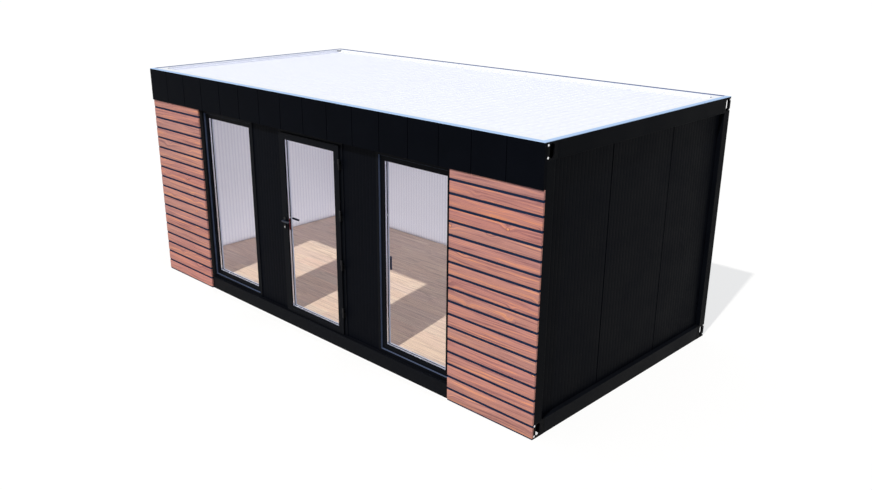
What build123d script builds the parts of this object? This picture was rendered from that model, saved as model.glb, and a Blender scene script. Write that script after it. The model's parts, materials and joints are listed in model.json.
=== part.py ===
# Office container, 6 x 3 m: a welded steel frame on eight hollow corner castings, insulated
# wall panels, a glazed front between two slatted timber ends, and a cassette fascia.
# The origin is at the middle of the footprint, on the ground. +X runs along the long front
# towards its right end, -Y is the glazed front and +Z is up. All sizes are in millimetres.

from build123d import *
import os

os.makedirs("parts", exist_ok=True)

# Overall steel frame
frame_length = 6000.0
frame_depth = 3000.0
frame_height = 2600.0

# Corner castings, posts and rails
casting_size = 150.0
casting_wall = 12.0
casting_slot_width = 62.0
casting_slot_length = 122.0
casting_slot_inset = 62.0
casting_foot_width = 102.0
casting_clearance = 1.0
strip_joint = 0.5
member_depth = 110.0
steel_wall = 4.0
bend_radius = 6.0

# Floor
deck_thickness = 22.0
joist_height = 110.0
joist_width = 60.0
joist_wall = 3.0
joist_count = 9
tray_thickness = 1.5

# Walls and ceiling
panel_thickness = 65.0
panel_joint = 8.0
panel_groove = 12.0
panel_fit = 0.5
side_panel_count = 3
back_panel_count = 6
ceiling_thickness = 60.0
ceiling_panel_count = 6

# Roof
roof_rib_pitch = 100.0
roof_rib_height = 12.0
roof_rib_base = 46.0
roof_rib_crest = 22.0
roof_sheet_thickness = 1.5
roof_drop = 28.0
trim_thickness = 4.0

# Front: openings, fascia and cladding
window_width = 1000.0
window_centre = 1500.0
door_opening_width = 1040.0
opening_height = 2070.0
fascia_proud = 32.0
fascia_height = 375.0
fascia_panel_count = 16
fascia_joint = 6.0
fascia_sheet = 2.0
fascia_fold = 1.2
cladding_proud = 19.0
cladding_width = 1000.0
batten_width = 60.0
batten_count = 3

# Windows
window_face_recess = 36.0
window_frame_depth = 70.0
window_frame_face = 38.0
frame_lip_depth = 20.0
sash_depth = 62.0
sash_face = 54.0
sash_overlap = 9.0
sash_gap = 3.0
pane_thickness = 6.0
pane_space = 16.0
pane_cover = 14.0
spacer_show = 2.0
glass_setback = 8.0

# Door leaf and frame
leaf_proud = 18.0
leaf_stile = 78.0
leaf_rail = 68.0
leaf_half_width = 480.0
leaf_bottom_gap = 8.0
leaf_top_gap = 42.0
leaf_lip_thickness = 12.5
leaf_lip = 12.0
leaf_core_depth = 60.0
door_running_gap = 6.0
threshold_height = 20.0

# Door hinges
hinge_count = 4
hinge_length = 105.0
hinge_radius = 9.0
hinge_pin_radius = 4.0
hinge_clearance = 0.15
hinge_end_gap = 0.3
hinge_axis_offset = 12.0
hinge_axis_proud = 8.0
hinge_plate = 3.0
hinge_reach = 30.0
hinge_first = 250.0
hinge_pitch = 528.0

# Door and window handles
handle_height = 1065.0
handle_backset = 30.0
lever_length = 124.0
lever_height = 20.0
lever_thickness = 13.0
lever_projection = 47.0
neck_radius = 9.0
neck_clearance = 0.2
rose_width = 32.0
rose_height = 66.0
rose_thickness = 8.0
cylinder_drop = 74.0
cylinder_radius = 8.5
cylinder_proud = 4.0
window_handle_height = 985.0
window_lever_length = 170.0

# Places that follow from the sizes above
x_end = frame_length / 2
rail_height = casting_size
panel_recess = member_depth - panel_thickness
y_front = fascia_proud / 2 - frame_depth / 2
y_back = y_front + frame_depth
y_mid = (y_front + y_back) / 2
floor_top = rail_height
wall_top = frame_height - rail_height
wall_face_front = y_front + panel_recess
opening_top = floor_top + opening_height
fascia_bottom = frame_height - fascia_height
inner_x = x_end - member_depth
inner_front = y_front + member_depth
inner_back = y_back - member_depth
field_x = x_end - casting_size - casting_clearance
strip_front = y_front + casting_size + casting_clearance
strip_back = y_back - casting_size - casting_clearance
rail_run_x = frame_length - 2 * casting_size
rail_run_y = frame_depth - 2 * casting_size


def save(part, node):
    """Label a finished piece and write its own STEP file."""
    part.label = node
    export_step(part, "parts/" + node + ".step")


def block(x0, x1, y0, y1, z0, z1, mode=Mode.ADD):
    """A box given by its lowest and highest corner, added to or cut from the part being built."""
    with Locations(((x0 + x1) / 2, (y0 + y1) / 2, (z0 + z1) / 2)):
        Box(x1 - x0, y1 - y0, z1 - z0, mode=mode)


def end_strips(z0, z1):
    """Flat strips that fill the plan beyond the fields, between the castings of each end."""
    for side in (-1, 1):
        near, far = side * (field_x + strip_joint), side * inner_x
        block(min(near, far), max(near, far), strip_front, strip_back, z0, z1)


# Corner castings: hollow cubes with an obround slot in each outer wall, and one underneath
# the lower four, which the lifting and locking gear takes hold of.
def corner_casting(side, face, level):
    x_outer = side * x_end
    y_outer = y_front if face < 0 else y_back
    z_low = 0.0 if level < 0 else frame_height - casting_size
    x_mid = x_outer - side * casting_size / 2
    y_centre = y_outer - face * casting_size / 2
    x_slot = x_outer - side * casting_slot_inset
    y_slot = y_outer - face * casting_slot_inset
    z_mid = z_low + casting_size / 2
    with BuildPart() as casting:
        with Locations((x_mid, y_centre, z_mid)):
            Box(casting_size, casting_size, casting_size)
        fillet(casting.edges().filter_by(Axis.Z), bend_radius)
        hollow = casting_size - 2 * casting_wall
        with Locations((x_mid, y_centre, z_mid)):
            Box(hollow, hollow, hollow, mode=Mode.SUBTRACT)
        side_plane = Plane((x_outer, y_slot, z_mid), x_dir=(0, 0, 1), z_dir=(side, 0, 0))
        with BuildSketch(side_plane):
            SlotOverall(casting_slot_length, casting_slot_width)
        extrude(amount=-casting_wall, mode=Mode.SUBTRACT)
        face_plane = Plane((x_slot, y_outer, z_mid), x_dir=(0, 0, 1), z_dir=(0, face, 0))
        with BuildSketch(face_plane):
            SlotOverall(casting_slot_length, casting_slot_width)
        extrude(amount=-casting_wall, mode=Mode.SUBTRACT)
        if level < 0:
            with BuildSketch(Plane((x_mid, y_centre, 0), x_dir=(1, 0, 0), z_dir=(0, 0, 1))):
                SlotOverall(casting_slot_length, casting_foot_width)
            extrude(amount=casting_wall, mode=Mode.SUBTRACT)
    return casting.part


for side, side_name in ((-1, "left"), (1, "right")):
    for face, face_name in ((-1, "front"), (1, "back")):
        for level, level_name in ((-1, "base"), (1, "roof")):
            node = level_name + "_casting_" + face_name + "_" + side_name
            save(corner_casting(side, face, level), node)

# Corner posts: square hollow sections welded between the castings.
with BuildPart() as corner_posts:
    with BuildSketch(Plane((0, y_mid, casting_size))):
        with GridLocations(frame_length - member_depth, frame_depth - member_depth, 2, 2):
            RectangleRounded(member_depth, member_depth, bend_radius)
            bore = member_depth - 2 * steel_wall
            Rectangle(bore, bore, mode=Mode.SUBTRACT)
    extrude(amount=frame_height - 2 * casting_size)
save(corner_posts.part, "corner_posts")


# Rails: folded channels between the castings, open inwards. The base rails' top flange
# carries the walls. The roof rails' top flange ends in a lip turned down, which the roof
# sheet laps against.
lip_depth = roof_drop
base_section = (
    (0, 0), (member_depth, 0), (member_depth, steel_wall),
    (steel_wall, steel_wall), (steel_wall, rail_height - steel_wall),
    (member_depth, rail_height - steel_wall), (member_depth, rail_height), (0, rail_height))
roof_section = (
    (0, 0), (member_depth, 0), (member_depth, steel_wall),
    (steel_wall, steel_wall), (steel_wall, rail_height - steel_wall),
    (member_depth - steel_wall, rail_height - steel_wall),
    (member_depth - steel_wall, rail_height - lip_depth),
    (member_depth, rail_height - lip_depth), (member_depth, rail_height), (0, rail_height))

# Each run: where its outer bottom edge starts in plan, the way its flanges turn, its length.
rail_runs = (
    ((x_end - casting_size, y_front), (0, 1, 0), rail_run_x),
    ((casting_size - x_end, y_back), (0, -1, 0), rail_run_x),
    ((-x_end, y_front + casting_size), (1, 0, 0), rail_run_y),
    ((x_end, y_back - casting_size), (-1, 0, 0), rail_run_y),
)


def rail_part(points, z_low):
    """Four rails of one section, each extruded along its side of the frame."""
    with BuildPart() as rails:
        for (x, y), inward, length in rail_runs:
            along = Vector(*inward).cross(Vector(0, 0, 1))
            towards_middle = Vector(x, y, 0).dot(along) < 0
            section_plane = Plane((x, y, z_low), x_dir=inward, z_dir=along * -1)
            with BuildSketch(section_plane):
                with BuildLine():
                    Polyline(*[(u, -v) for u, v in points], close=True)
                make_face()
            extrude(amount=-length if towards_middle else length)
        outer = rails.edges().filter_by(lambda e: is_outer_corner(e, z_low))
        fillet(outer, bend_radius / 2)
    return rails.part


def is_outer_corner(edge, z_low):
    """True for the long edges on the frame's outer faces at a rail's top or bottom."""
    c = edge.center()
    on_face = min(abs(abs(c.X) - x_end), abs(c.Y - y_front), abs(c.Y - y_back)) < 0.01
    at_corner = min(abs(c.Z - z_low), abs(c.Z - z_low - rail_height)) < 0.01
    return on_face and at_corner and edge.length > rail_run_y - 1


save(rail_part(base_section, 0), "base_rails")
save(rail_part(roof_section, frame_height - rail_height), "roof_rails")

# Floor joists: folded channels across the frame, under the deck.
joist_top = floor_top - deck_thickness
joist_pitch = (frame_length - 2 * casting_size) / (joist_count + 1)
with BuildPart() as floor_joists:
    with BuildSketch(Plane((0, y_front + member_depth, 0), x_dir=(1, 0, 0), z_dir=(0, 1, 0))):
        with GridLocations(joist_pitch, 1, joist_count, 1):
            with Locations((0, -(joist_top - joist_height / 2))):
                Rectangle(joist_width, joist_height)
            with Locations((joist_wall, -(joist_top - joist_height / 2))):
                Rectangle(joist_width, joist_height - 2 * joist_wall, mode=Mode.SUBTRACT)
    extrude(amount=inner_back - inner_front)
save(floor_joists.part, "floor_joists")

# Floor tray: thin sheet that closes the underside between the rails.
with BuildPart() as floor_tray:
    tray_top = joist_top - joist_height
    block(-field_x, field_x, inner_front, inner_back, tray_top - tray_thickness, tray_top)
    end_strips(tray_top - tray_thickness, tray_top)
save(floor_tray.part, "floor_tray")

# Floor deck: boards faced with laminate, laid wall to wall.
with BuildPart() as floor_deck:
    block(-field_x, field_x, inner_front, inner_back, joist_top, floor_top)
    end_strips(joist_top, floor_top)
save(floor_deck.part, "floor_deck")


# Walls: insulated panels, side by side, set back from the frame's faces. Their cores meet,
# and an open groove between their outer skins marks each joint.
def panel_spans(low, high, count):
    """The core and the outer skin of each panel in a row, as two pairs of ends."""
    width = (high - low) / count
    spans = []
    for i in range(count):
        a, b = low + i * width, low + (i + 1) * width
        first, last = i == 0, i == count - 1
        core = (a if first else a + panel_fit / 2, b if last else b - panel_fit / 2)
        skin = (a if first else a + panel_joint / 2, b if last else b - panel_joint / 2)
        spans.append((core, skin))
    return spans


def side_wall(side):
    """Three panels that close one short side."""
    x_outer = x_end - panel_recess
    x_step = x_outer - panel_groove
    x_inner = x_outer - panel_thickness
    with BuildPart() as wall:
        for core, skin in panel_spans(inner_front, inner_back, side_panel_count):
            for near, far, (y0, y1) in ((x_inner, x_step, core), (x_step, x_outer, skin)):
                block(min(side * near, side * far), max(side * near, side * far),
                      y0, y1, floor_top, wall_top)
    return wall.part


save(side_wall(-1), "left_wall")
save(side_wall(1), "right_wall")

with BuildPart() as back_wall:
    y_outer = y_back - panel_recess
    y_step = y_outer - panel_groove
    for core, skin in panel_spans(-inner_x, inner_x, back_panel_count):
        block(*core, y_outer - panel_thickness, y_step, floor_top, wall_top)
        block(*skin, y_step, y_outer, floor_top, wall_top)
save(back_wall.part, "back_wall")

# Front wall: end panels behind the cladding, two piers beside the doorway, and headers over
# the three openings, so that each opening is cut clean through the wall.
window_outer = window_centre + window_width / 2
window_inner = window_centre - window_width / 2
door_edge = door_opening_width / 2
front_inner_face = wall_face_front + panel_thickness
front_panels = (
    ("front_end_panels", floor_top, ((-inner_x, -window_outer), (window_outer, inner_x))),
    ("front_piers", floor_top, ((-window_inner, -door_edge), (door_edge, window_inner))),
    ("front_headers", opening_top, ((-window_outer, -window_inner), (-door_edge, door_edge),
                                    (window_inner, window_outer))),
)
for name, z0, spans in front_panels:
    with BuildPart() as front_panel:
        for x0, x1 in spans:
            block(x0, x1, wall_face_front, front_inner_face, z0, wall_top)
    save(front_panel.part, name)

# Ceiling: panels laid across the roof rails' lower flanges.
with BuildPart() as ceiling:
    for core, skin in panel_spans(-field_x, field_x, ceiling_panel_count):
        block(*core, inner_front, inner_back, wall_top, wall_top + ceiling_thickness)
    end_strips(wall_top, wall_top + ceiling_thickness)
save(ceiling.part, "ceiling")

# Roof sheet: one trapezoid profile repeated across the width, pressed in thin sheet, with its
# ribs running from front to back.
rib_count = int(2 * field_x / roof_rib_pitch)
roof_level = frame_height - roof_drop
flank = (roof_rib_base - roof_rib_crest) / 2


def rib_outline(level):
    """Points along the ribbed surface, from the left edge to the right."""
    points = [(-field_x, level)]
    first = -(rib_count - 1) * roof_rib_pitch / 2
    for i in range(rib_count):
        centre = first + i * roof_rib_pitch
        points.append((centre - roof_rib_base / 2, level))
        points.append((centre - roof_rib_base / 2 + flank, level + roof_rib_height))
        points.append((centre + roof_rib_base / 2 - flank, level + roof_rib_height))
        points.append((centre + roof_rib_base / 2, level))
    points.append((field_x, level))
    return points


with BuildPart() as roof_sheet:
    with BuildSketch(Plane((0, inner_back, 0), x_dir=(1, 0, 0), z_dir=(0, -1, 0))):
        with BuildLine():
            upper = rib_outline(roof_level)
            lower = rib_outline(roof_level - roof_sheet_thickness)
            Polyline(*upper, *reversed(lower), close=True)
        make_face()
    extrude(amount=inner_back - inner_front)
    end_strips(roof_level - roof_sheet_thickness, roof_level)
save(roof_sheet.part, "roof_sheet")

# Roof trim: pale flashing over the rails and castings, with a lip turned down inside, which
# also caps the fascia along the front.
with BuildPart() as roof_trim:
    block(-x_end, x_end, y_front - fascia_proud, y_back,
          frame_height, frame_height + trim_thickness)
    with Locations((0, y_mid, frame_height + trim_thickness / 2)):
        Box(2 * inner_x, inner_back - inner_front, trim_thickness, mode=Mode.SUBTRACT)
save(roof_trim.part, "roof_trim")

# Fascia: sixteen cassettes across the head of the front, with open joints. Each is a shallow
# tray folded from thin sheet, open at the back, where its flanges meet the frame.
fascia_face = y_front - fascia_proud
with BuildPart() as fascia:
    cassette = frame_length / fascia_panel_count
    cassette_ends = []
    for i in range(fascia_panel_count):
        x0 = -x_end + i * cassette + (fascia_joint / 2 if i > 0 else 0)
        last = i == fascia_panel_count - 1
        x1 = -x_end + (i + 1) * cassette - (0 if last else fascia_joint / 2)
        block(x0, x1, fascia_face, y_front, fascia_bottom, frame_height)
        cassette_ends.append((x0 + fascia_sheet, x1 - fascia_sheet))
    folds = fascia.edges().filter_by(lambda e: abs(e.center().Y - fascia_face) < 0.01)
    chamfer(folds, fascia_fold)
    for x0, x1 in cassette_ends:
        block(x0, x1, fascia_face + fascia_sheet, y_front, fascia_bottom + fascia_sheet,
              frame_height - fascia_sheet, mode=Mode.SUBTRACT)
save(fascia.part, "fascia")

# Timber cladding: a panel at each end of the front, from the ground to the fascia.
for side, side_name in ((-1, "left"), (1, "right")):
    x_outer = side * x_end
    x_inner = side * (x_end - cladding_width)
    with BuildPart() as cladding:
        block(min(x_outer, x_inner), max(x_outer, x_inner),
              y_front - cladding_proud, y_front, 0, fascia_bottom)
    save(cladding.part, "cladding_" + side_name)

# Battens: uprights that carry the cladding off the wall panels.
with BuildPart() as cladding_battens:
    pitch = (inner_x - window_outer - batten_width) / (batten_count - 1)
    for side in (-1, 1):
        for i in range(batten_count):
            x0 = window_outer + i * pitch
            block(min(side * x0, side * (x0 + batten_width)),
                  max(side * x0, side * (x0 + batten_width)),
                  y_front, wall_face_front, floor_top, fascia_bottom)
save(cladding_battens.part, "cladding_battens")


# Windows: an outer frame, a sash set back inside it and a double-glazed unit.
def ring(x0, x1, z0, z1, face, y0):
    """The outline of a rectangular frame of the given face width, standing at y0."""
    middle = ((x0 + x1) / 2, y0, (z0 + z1) / 2)
    with BuildSketch(Plane(middle, x_dir=(1, 0, 0), z_dir=(0, -1, 0))) as outline:
        Rectangle(x1 - x0, z1 - z0)
        Rectangle(x1 - x0 - 2 * face, z1 - z0 - 2 * face, mode=Mode.SUBTRACT)
    return outline.sketch


window_face = y_front + window_face_recess
sash_front = window_face + frame_lip_depth
for side, side_name in ((-1, "left"), (1, "right")):
    x0 = side * window_centre - window_width / 2
    x1 = side * window_centre + window_width / 2
    with BuildPart() as window_frame:
        extrude(ring(x0, x1, floor_top, opening_top, window_frame_face, window_face),
                amount=-frame_lip_depth)
        pocket = window_frame_face - sash_overlap - sash_gap
        extrude(ring(x0, x1, floor_top, opening_top, pocket, sash_front),
                amount=frame_lip_depth - window_frame_depth)
    save(window_frame.part, "window_frame_" + side_name)

    inset = window_frame_face - sash_overlap
    sx0, sx1 = x0 + inset, x1 - inset
    sz0, sz1 = floor_top + inset, opening_top - inset
    with BuildPart() as sash:
        extrude(ring(sx0, sx1, sz0, sz1, sash_face + sash_overlap, sash_front),
                amount=-sash_depth)
        # the rebate that takes the glass
        cut = sash_face + sash_overlap - pane_cover
        unit = 2 * pane_thickness + pane_space
        with Locations(((sx0 + sx1) / 2, sash_front + glass_setback + unit / 2, (sz0 + sz1) / 2)):
            Box(sx1 - sx0 - 2 * cut, unit, sz1 - sz0 - 2 * cut, mode=Mode.SUBTRACT)
    save(sash.part, "window_sash_" + side_name)

    with BuildPart() as window_glass:
        for y0 in (sash_front + glass_setback,
                   sash_front + glass_setback + pane_thickness + pane_space):
            block(sx0 + cut, sx1 - cut, y0, y0 + pane_thickness, sz0 + cut, sz1 - cut)
    save(window_glass.part, "window_glass_" + side_name)

# Spacers: the bright bars round the edge of each double-glazed unit, between its panes.
with BuildPart() as window_spacers:
    for side in (-1, 1):
        x0 = side * window_centre - window_width / 2 + window_frame_face - sash_overlap + cut
        x1 = side * window_centre + window_width / 2 - window_frame_face + sash_overlap - cut
        extrude(ring(x0, x1, sz0 + cut, sz1 - cut, pane_cover + spacer_show,
                     sash_front + glass_setback + pane_thickness), amount=-pane_space)
save(window_spacers.part, "window_spacers")

# Window handle: a lever on the inner face of the right-hand sash, on its free stile.
sash_back = sash_front + sash_depth
window_handle_z = floor_top + window_handle_height
window_handle_x = window_centre - window_width / 2 + window_frame_face + sash_face / 2
with BuildPart() as window_handle:
    with BuildSketch(Plane((window_handle_x, sash_back, window_handle_z),
                           x_dir=(1, 0, 0), z_dir=(0, 1, 0))):
        RectangleRounded(rose_width - 4, rose_height, 5)
    extrude(amount=rose_thickness)
    with BuildSketch(Plane((window_handle_x, sash_back + rose_thickness, window_handle_z),
                           x_dir=(1, 0, 0), z_dir=(0, 1, 0))):
        Circle(neck_radius)
    extrude(amount=lever_projection - rose_thickness)
    grip_back = sash_back + lever_projection
    with BuildSketch(Plane((window_handle_x, grip_back,
                            window_handle_z + neck_radius - window_lever_length / 2),
                           x_dir=(0, 0, 1), z_dir=(0, 1, 0))):
        RectangleRounded(window_lever_length, lever_height, lever_height / 2 - 0.5)
    extrude(amount=-lever_thickness)
    rims = window_handle.edges().filter_by(lambda e: abs(e.center().Y - grip_back) < 0.01)
    chamfer(rims, lever_thickness / 4)
save(window_handle.part, "window_handle")

# Door frame: jambs, head and a low threshold round the doorway, cut clear of the leaf.
leaf_core_half = leaf_half_width - leaf_lip
jamb_half = leaf_core_half + door_running_gap
leaf_bottom = floor_top + leaf_bottom_gap
leaf_top = opening_top - leaf_top_gap
head_bottom = leaf_top - leaf_lip + door_running_gap
with BuildPart() as door_frame:
    block(-door_edge, door_edge, window_face, window_face + window_frame_depth,
          floor_top, opening_top)
    with Locations((0, window_face + window_frame_depth / 2,
                    (floor_top + threshold_height + head_bottom) / 2)):
        Box(2 * jamb_half, window_frame_depth,
            head_bottom - floor_top - threshold_height, mode=Mode.SUBTRACT)
save(door_frame.part, "door_frame")

# Door leaf: a proud lip over the frame and a deeper core inside it, glazed right through.
leaf_face = y_front + leaf_proud
leaf_back = leaf_face + leaf_core_depth
core_bottom = floor_top + threshold_height + door_running_gap
handle_x = -leaf_half_width + handle_backset
handle_z = floor_top + handle_height
with BuildPart() as door_leaf:
    block(-leaf_half_width, leaf_half_width, leaf_face, leaf_face + leaf_lip_thickness,
          leaf_bottom, leaf_top)
    block(-leaf_core_half, leaf_core_half, leaf_face, leaf_back, core_bottom, leaf_top - leaf_lip)
    glass_x = leaf_half_width - leaf_stile
    glass_z0 = leaf_bottom + leaf_rail
    glass_z1 = leaf_top - leaf_rail
    with Locations((0, (leaf_face + leaf_back) / 2, (glass_z0 + glass_z1) / 2)):
        Box(2 * glass_x, leaf_core_depth, glass_z1 - glass_z0, mode=Mode.SUBTRACT)
    with Locations((0, leaf_face + glass_setback + unit / 2, (glass_z0 + glass_z1) / 2)):
        Box(2 * (glass_x + pane_cover), unit, glass_z1 - glass_z0 + 2 * pane_cover,
            mode=Mode.SUBTRACT)
    with BuildSketch(Plane((handle_x, leaf_face, handle_z), x_dir=(1, 0, 0), z_dir=(0, 1, 0))):
        Circle(neck_radius + neck_clearance)
    extrude(amount=leaf_core_depth, mode=Mode.SUBTRACT)
save(door_leaf.part, "door_leaf")

with BuildPart() as door_glass:
    for y0 in (leaf_face + glass_setback, leaf_face + glass_setback + pane_thickness + pane_space):
        block(-glass_x - pane_cover, glass_x + pane_cover, y0, y0 + pane_thickness,
              glass_z0 - pane_cover, glass_z1 + pane_cover)
save(door_glass.part, "door_glass")

with BuildPart() as door_spacer:
    extrude(ring(-glass_x - pane_cover, glass_x + pane_cover, glass_z0 - pane_cover,
                 glass_z1 + pane_cover, pane_cover + spacer_show,
                 leaf_face + glass_setback + pane_thickness), amount=-pane_space)
save(door_spacer.part, "door_spacer")

# Door hinges: four knuckles on the right, each a leaf half above a frame half with the pin.
hinge_x = leaf_half_width + hinge_axis_offset
hinge_y = leaf_face - hinge_axis_proud
hinge_levels = [leaf_bottom + hinge_first + i * hinge_pitch for i in range(hinge_count)]
half_length = (hinge_length - hinge_end_gap) / 2
with BuildPart() as hinge_leaf_halves:
    for z in hinge_levels:
        with BuildSketch(Plane.XY.offset(z + hinge_end_gap / 2)):
            with Locations((hinge_x, hinge_y)):
                Circle(hinge_radius)
            with Locations((hinge_x - hinge_reach / 2, leaf_face - hinge_plate / 2)):
                Rectangle(hinge_reach, hinge_plate)
            with Locations((hinge_x, hinge_y)):
                Circle(hinge_pin_radius + hinge_clearance, mode=Mode.SUBTRACT)
        extrude(amount=half_length)
save(hinge_leaf_halves.part, "hinge_leaf_halves")

with BuildPart() as hinge_frame_halves:
    for z in hinge_levels:
        with BuildSketch(Plane.XY.offset(z - hinge_end_gap / 2)):
            with Locations((hinge_x, hinge_y)):
                Circle(hinge_radius)
            with Locations((hinge_x + hinge_plate / 2, (hinge_y + window_face) / 2)):
                Rectangle(hinge_plate, window_face - hinge_y)
            with Locations((hinge_x + (hinge_radius + hinge_plate) / 2,
                            window_face - hinge_plate / 2)):
                Rectangle(hinge_radius + hinge_plate, hinge_plate)
        extrude(amount=-half_length)
        with BuildSketch(Plane.XY.offset(z - hinge_end_gap / 2)):
            with Locations((hinge_x, hinge_y)):
                Circle(hinge_pin_radius)
        extrude(amount=half_length)
save(hinge_frame_halves.part, "hinge_frame_halves")

# Handle roses and lock escutcheons: one pair on each face of the leaf.
with BuildPart() as handle_roses:
    for y_face, out in ((leaf_face, -1), (leaf_back, 1)):
        with BuildSketch(Plane((handle_x, y_face, handle_z), x_dir=(1, 0, 0), z_dir=(0, out, 0))):
            RectangleRounded(rose_width, rose_height, 5)
            Circle(neck_radius + neck_clearance, mode=Mode.SUBTRACT)
        extrude(amount=rose_thickness)
        with BuildSketch(Plane((handle_x, y_face, handle_z - cylinder_drop),
                               x_dir=(1, 0, 0), z_dir=(0, out, 0))):
            RectangleRounded(rose_width, rose_height * 0.7, 5)
        extrude(amount=rose_thickness)
save(handle_roses.part, "handle_roses")

# Lock cylinder: its two visible ends.
with BuildPart() as lock_cylinder:
    for y_face, out in ((leaf_face, -1), (leaf_back, 1)):
        y0 = y_face + out * rose_thickness
        with BuildSketch(Plane((handle_x, y0, handle_z - cylinder_drop),
                               x_dir=(1, 0, 0), z_dir=(0, out, 0))):
            Circle(cylinder_radius)
        extrude(amount=cylinder_proud)
save(lock_cylinder.part, "lock_cylinder")

# Door levers: an outer and an inner lever on one spindle, which turns in the leaf.
with BuildPart() as door_levers:
    y_out = leaf_face - lever_projection
    y_in = leaf_back + lever_projection
    with BuildSketch(Plane((handle_x, y_out + lever_thickness / 2, handle_z),
                           x_dir=(1, 0, 0), z_dir=(0, 1, 0))):
        Circle(neck_radius)
    extrude(amount=y_in - y_out - lever_thickness)
    for y0 in (y_out, y_in - lever_thickness):
        with BuildSketch(Plane((handle_x - neck_radius + lever_length / 2, y0, handle_z),
                               x_dir=(1, 0, 0), z_dir=(0, -1, 0))):
            RectangleRounded(lever_length, lever_height, lever_height / 2 - 0.5)
        extrude(amount=-lever_thickness)
    rims = door_levers.edges().filter_by(lambda e: abs(e.center().Y - y_out) < 0.01
                                         or abs(e.center().Y - y_in) < 0.01)
    chamfer(rims, lever_thickness / 4)
save(door_levers.part, "door_levers")
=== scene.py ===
# %% [markdown]
# # An office container, finished in Blender
# The steel frame, the hollow castings, the walls, the windows and the door with its hinges
# come as a fixed model, in place and to size. This lesson gives every surface its finish and
# adds what is too fine for that model: boards, ribbed skins, seals and plugs. Nothing of the
# fixed model is moved or reshaped. Where it is too plain, its part is hidden and a new piece
# stands in its place, inside the same box.

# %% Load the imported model
import math
import bpy
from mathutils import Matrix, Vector
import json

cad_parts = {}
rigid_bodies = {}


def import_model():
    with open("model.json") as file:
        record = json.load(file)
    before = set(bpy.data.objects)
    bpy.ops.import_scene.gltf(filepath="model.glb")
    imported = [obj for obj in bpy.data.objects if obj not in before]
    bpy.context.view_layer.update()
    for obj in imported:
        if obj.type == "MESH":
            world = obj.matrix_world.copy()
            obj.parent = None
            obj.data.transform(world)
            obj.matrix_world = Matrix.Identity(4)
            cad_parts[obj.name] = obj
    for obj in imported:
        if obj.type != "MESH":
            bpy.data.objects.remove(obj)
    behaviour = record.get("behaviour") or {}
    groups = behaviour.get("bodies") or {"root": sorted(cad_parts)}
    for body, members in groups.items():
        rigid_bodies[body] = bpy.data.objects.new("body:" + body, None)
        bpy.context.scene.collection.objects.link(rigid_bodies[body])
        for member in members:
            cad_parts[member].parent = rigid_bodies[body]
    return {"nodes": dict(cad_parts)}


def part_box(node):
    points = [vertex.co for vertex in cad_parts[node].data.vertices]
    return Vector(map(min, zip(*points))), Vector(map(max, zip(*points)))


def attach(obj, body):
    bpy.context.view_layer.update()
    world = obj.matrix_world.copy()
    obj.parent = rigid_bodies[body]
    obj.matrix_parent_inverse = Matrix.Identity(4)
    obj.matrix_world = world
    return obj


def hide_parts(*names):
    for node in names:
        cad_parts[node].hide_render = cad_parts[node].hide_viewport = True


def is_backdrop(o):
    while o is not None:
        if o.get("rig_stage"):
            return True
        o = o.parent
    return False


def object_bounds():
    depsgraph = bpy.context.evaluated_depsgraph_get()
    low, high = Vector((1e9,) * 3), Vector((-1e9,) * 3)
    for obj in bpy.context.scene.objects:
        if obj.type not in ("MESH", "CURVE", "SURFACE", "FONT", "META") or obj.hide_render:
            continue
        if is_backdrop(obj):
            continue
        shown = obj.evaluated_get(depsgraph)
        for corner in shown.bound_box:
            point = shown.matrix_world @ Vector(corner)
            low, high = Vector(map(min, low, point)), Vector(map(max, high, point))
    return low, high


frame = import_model()
nodes = frame["nodes"]
cad_low, cad_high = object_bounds()
print("parts:", len(nodes), "size:", [round(h - l, 3) for l, h in zip(cad_low, cad_high)])

# %% [markdown]
# ## Camera and light
# The camera stands at the corner between the glazed front and the right end, a little above
# the roof. Its lens and place were worked out from the frame's own edges. One sun from the
# front gives the slanting patches of light on the floor, and a pale sky fills the rest. A
# soft lamp low in the room stands for the light that a sunny floor throws back at the walls.
# A colour renders about as it is written, so that finishes can be judged.

# %% Camera
camera_place = (6.8903, -6.769, 4.0087)
camera_down = 19.46
camera_turn = 44.98
bpy.ops.object.camera_add(location=camera_place)
camera = bpy.context.object
camera.name = "camera"
camera.rotation_euler = (math.radians(90 - camera_down), 0, math.radians(camera_turn))
camera.data.sensor_width = 36.0
camera.data.lens = 35.72
camera.data.shift_x = 0.0198
camera.data.shift_y = 0.0079
camera.data.clip_end = 1000
bpy.context.scene.camera = camera
bpy.context.scene.view_settings.view_transform = "Standard"
print("camera at", [round(c, 2) for c in camera.location])

# %% Sun, and a soft lamp in the room
sun_direction = Vector((-0.131, 0.643, -0.755))
bpy.ops.object.light_add(type="SUN")
sun = bpy.context.object
sun.name = "sun"
sun.rotation_euler = sun_direction.to_track_quat("-Z", "Y").to_euler()
sun.data.energy = 3.1
sun.data.color = (1.0, 0.965, 0.91)
sun.data.angle = math.radians(1.2)

lamp_height = 0.004
lamp_share_x, lamp_share_y = 0.99, 0.98
room_low = Vector((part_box("left_wall")[1].x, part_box("front_piers")[1].y,
                   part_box("floor_deck")[1].z))
room_high = Vector((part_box("right_wall")[0].x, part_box("back_wall")[0].y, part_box("ceiling")[0].z))
bpy.ops.object.light_add(type="AREA")
room_lamp = bpy.context.object
room_lamp.name = "room_lamp"
room_lamp.location = ((room_low.x + room_high.x) / 2, (room_low.y + room_high.y) / 2,
                      room_low.z + lamp_height)
room_lamp.rotation_euler = (math.pi, 0, 0)
room_lamp.data.shape = "RECTANGLE"
room_lamp.data.size = (room_high.x - room_low.x) * lamp_share_x
room_lamp.data.size_y = (room_high.y - room_low.y) * lamp_share_y
room_lamp.data.energy = 42
room_lamp.data.color = (0.92, 0.92, 1.0)
room_lamp.visible_camera = False
room_lamp.visible_transmission = False
room_lamp.visible_glossy = False
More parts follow.
